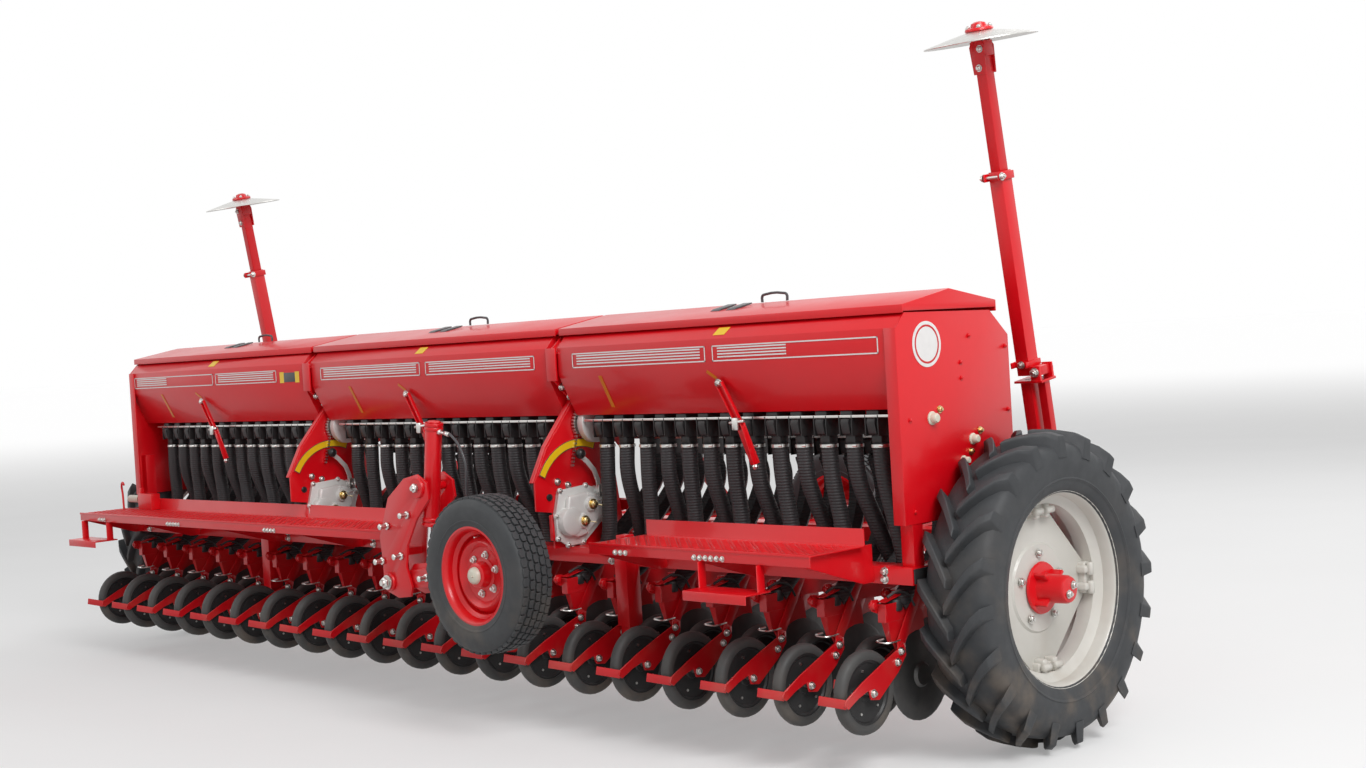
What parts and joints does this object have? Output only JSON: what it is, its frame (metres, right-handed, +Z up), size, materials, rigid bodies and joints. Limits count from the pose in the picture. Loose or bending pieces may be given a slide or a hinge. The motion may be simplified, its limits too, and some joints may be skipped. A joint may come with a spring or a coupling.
{
  "type": "trailed grain seed drill",
  "caption": "Wide trailed grain drill with hoppers, coulter rows with press wheels, lugged drive wheels, folding row markers and end-tow transport wheels.",
  "frame": {"origin": "on the ground, at the middle of the footprint", "axes": "+X to the drill's right side, +Y forward to the drawbar, +Z up"},
  "size_m": [6.502, 4.467, 2.8345],
  "materials": {
    "red_paint": "gloss",
    "rim_paint": "satin",
    "tyre": "matt",
    "press_rubber": "matt",
    "black_plastic": "matt",
    "cast_alloy": "cast",
    "zinc": "zinc plated",
    "chrome": "polished"
  },
  "bodies": {
    "frame": {"main_frame": "red_paint", "axle_right": "red_paint", "axle_left": "red_paint", "hopper_left": "red_paint", "hopper_centre": "red_paint", "hopper_right": "red_paint", "end_plate_right": "red_paint", "end_plate_left": "red_paint", "divider_right": "red_paint", "divider_left": "red_paint", "transport_bracket_rear": "red_paint", "transport_bracket_front": "red_paint", "marker_mast_right": "red_paint", "marker_mast_left": "red_paint", "footboard_right": "red_paint", "footboard_left": "red_paint", "step_right": "red_paint", "step_left": "red_paint", "drawbar": "red_paint", "gearbox_right": "cast_alloy", "gearbox_left": "cast_alloy", "fertiliser_meters_left": "black_plastic", "grain_meters_left": "black_plastic", "seed_tubes_left": "black_plastic", "fertiliser_meters_centre": "black_plastic", "grain_meters_centre": "black_plastic", "seed_tubes_centre": "black_plastic", "fertiliser_meters_right": "black_plastic", "grain_meters_right": "black_plastic", "seed_tubes_right": "black_plastic"},
    "drive_wheel_right": {"drive_tyre_right": "tyre", "drive_rim_right": "rim_paint"},
    "drive_wheel_left": {"drive_tyre_left": "tyre", "drive_rim_left": "rim_paint"},
    "lid_left": {"lid_left": "red_paint"},
    "lid_centre": {"lid_centre": "red_paint"},
    "lid_right": {"lid_right": "red_paint"},
    "coulters": {"coulter_bank_left": "press_rubber", "coulter_bank_centre": "press_rubber", "coulter_bank_right": "press_rubber"},
    "rear_leg_right": {"rear_leg_right": "red_paint"},
    "rear_leg_left": {"rear_leg_left": "red_paint"},
    "jack_leg": {"jack_leg": "zinc"},
    "marker_arm_right": {"marker_arm_right": "red_paint"},
    "marker_extension_right": {"marker_extension_right": "red_paint"},
    "marker_disc_right": {"marker_disc_right": "zinc"},
    "marker_arm_left": {"marker_arm_left": "red_paint"},
    "marker_extension_left": {"marker_extension_left": "red_paint"},
    "marker_disc_left": {"marker_disc_left": "zinc"},
    "transport_arm_rear": {"transport_arm_rear": "red_paint"},
    "transport_cylinder_rear": {"transport_cylinder_rear": "red_paint"},
    "transport_rod_rear": {"transport_rod_rear": "chrome"},
    "transport_wheel_rear": {"transport_tyre_rear": "tyre", "transport_rim_rear": "red_paint"},
    "transport_arm_front": {"transport_arm_front": "red_paint"},
    "transport_cylinder_front": {"transport_cylinder_front": "red_paint"},
    "transport_rod_front": {"transport_rod_front": "chrome"},
    "transport_wheel_front": {"transport_tyre_front": "tyre", "transport_rim_front": "red_paint"}
  },
  "joints": [
    {"name": "drive_wheel_right_spin", "type": "hinge", "parent": "frame", "child": "drive_wheel_right", "pos_m": [3.1085, -0.9755, 0.612], "axis": [1, 0, 0], "continuous": true},
    {"name": "drive_wheel_left_spin", "type": "hinge", "parent": "frame", "child": "drive_wheel_left", "pos_m": [-3.1085, -0.9755, 0.612], "axis": [1, 0, 0], "continuous": true},
    {"name": "lid_left_hinge", "type": "hinge", "parent": "frame", "child": "lid_left", "pos_m": [-1.98625, -0.9285, 1.708], "axis": [-1, 0, 0], "range_deg": [0, 92]},
    {"name": "lid_centre_hinge", "type": "hinge", "parent": "frame", "child": "lid_centre", "pos_m": [0, -0.9285, 1.708], "axis": [-1, 0, 0], "range_deg": [0, 92]},
    {"name": "lid_right_hinge", "type": "hinge", "parent": "frame", "child": "lid_right", "pos_m": [1.98625, -0.9285, 1.708], "axis": [-1, 0, 0], "range_deg": [0, 92]},
    {"name": "coulter_lift", "type": "hinge", "parent": "frame", "child": "coulters", "pos_m": [0, -0.7765, 0.6], "axis": [1, 0, 0], "range_deg": [0, 9.5]},
    {"name": "rear_leg_right_slide", "type": "slide", "parent": "frame", "child": "rear_leg_right", "axis": [0, 0, -1], "range_m": [0, 0.37]},
    {"name": "rear_leg_left_slide", "type": "slide", "parent": "frame", "child": "rear_leg_left", "axis": [0, 0, -1], "range_m": [0, 0.37]},
    {"name": "jack_slide", "type": "slide", "parent": "frame", "child": "jack_leg", "axis": [0, 0, 1], "range_m": [0, 0.3]},
    {"name": "marker_right_fold", "type": "hinge", "parent": "frame", "child": "marker_arm_right", "pos_m": [2.91, -0.5895, 1.439], "axis": [0, 0.9882, 0.1534], "range_deg": [0, 120]},
    {"name": "marker_right_extend", "type": "slide", "parent": "marker_arm_right", "child": "marker_extension_right", "axis": [0, -0.1534, 0.9882], "range_m": [0, 0.5]},
    {"name": "marker_disc_right_spin", "type": "hinge", "parent": "marker_extension_right", "child": "marker_disc_right", "pos_m": [2.846, -0.79842, 2.78488], "axis": [0, -0.1534, 0.9882], "continuous": true},
    {"name": "marker_left_fold", "type": "hinge", "parent": "frame", "child": "marker_arm_left", "pos_m": [-2.91, -0.5895, 1.439], "axis": [0, -0.9882, -0.1534], "range_deg": [0, 120]},
    {"name": "marker_left_extend", "type": "slide", "parent": "marker_arm_left", "child": "marker_extension_left", "axis": [0, -0.1534, 0.9882], "range_m": [0, 0.5]},
    {"name": "marker_disc_left_spin", "type": "hinge", "parent": "marker_extension_left", "child": "marker_disc_left", "pos_m": [-2.846, -0.78155, 2.67618], "axis": [0, -0.1534, 0.9882], "continuous": true},
    {"name": "transport_arm_rear_swing", "type": "hinge", "parent": "frame", "child": "transport_arm_rear", "pos_m": [0.314, -1.9585, 0.626], "axis": [0, 1, 0], "range_deg": [0, 30]},
    {"name": "transport_cylinder_rear_tilt", "type": "hinge", "parent": "frame", "child": "transport_cylinder_rear", "pos_m": [0.572, -1.9585, 1.061], "axis": [0, 1, 0], "range_deg": [-1, 0]},
    {"name": "transport_rod_rear_slide", "type": "slide", "parent": "transport_cylinder_rear", "child": "transport_rod_rear", "axis": [-0.1462, 0, -0.9893], "range_m": [0, 0.11]},
    {"name": "transport_wheel_rear_spin", "type": "hinge", "parent": "transport_arm_rear", "child": "transport_wheel_rear", "pos_m": [1.169, -2.1385, 0.722], "axis": [0, 1, 0], "continuous": true},
    {"name": "transport_arm_front_swing", "type": "hinge", "parent": "frame", "child": "transport_arm_front", "pos_m": [2.024, -0.0095, 0.626], "axis": [0, -1, 0], "range_deg": [0, 30]},
    {"name": "transport_cylinder_front_tilt", "type": "hinge", "parent": "frame", "child": "transport_cylinder_front", "pos_m": [1.766, -0.0095, 1.061], "axis": [0, -1, 0], "range_deg": [-1, 0]},
    {"name": "transport_rod_front_slide", "type": "slide", "parent": "transport_cylinder_front", "child": "transport_rod_front", "axis": [0.1462, 0, -0.9893], "range_m": [0, 0.11]},
    {"name": "transport_wheel_front_spin", "type": "hinge", "parent": "transport_arm_front", "child": "transport_wheel_front", "pos_m": [1.169, 0.1705, 0.722], "axis": [0, 1, 0], "continuous": true}
  ],
  "couplings": [
    {"joint": "transport_cylinder_rear_tilt", "follows": "transport_arm_rear_swing", "ratio": -0.031},
    {"joint": "transport_rod_rear_slide", "follows": "transport_arm_rear_swing", "m_per_rad": 0.19776},
    {"joint": "transport_cylinder_front_tilt", "follows": "transport_arm_front_swing", "ratio": -0.031},
    {"joint": "transport_rod_front_slide", "follows": "transport_arm_front_swing", "m_per_rad": 0.19776}
  ]
}
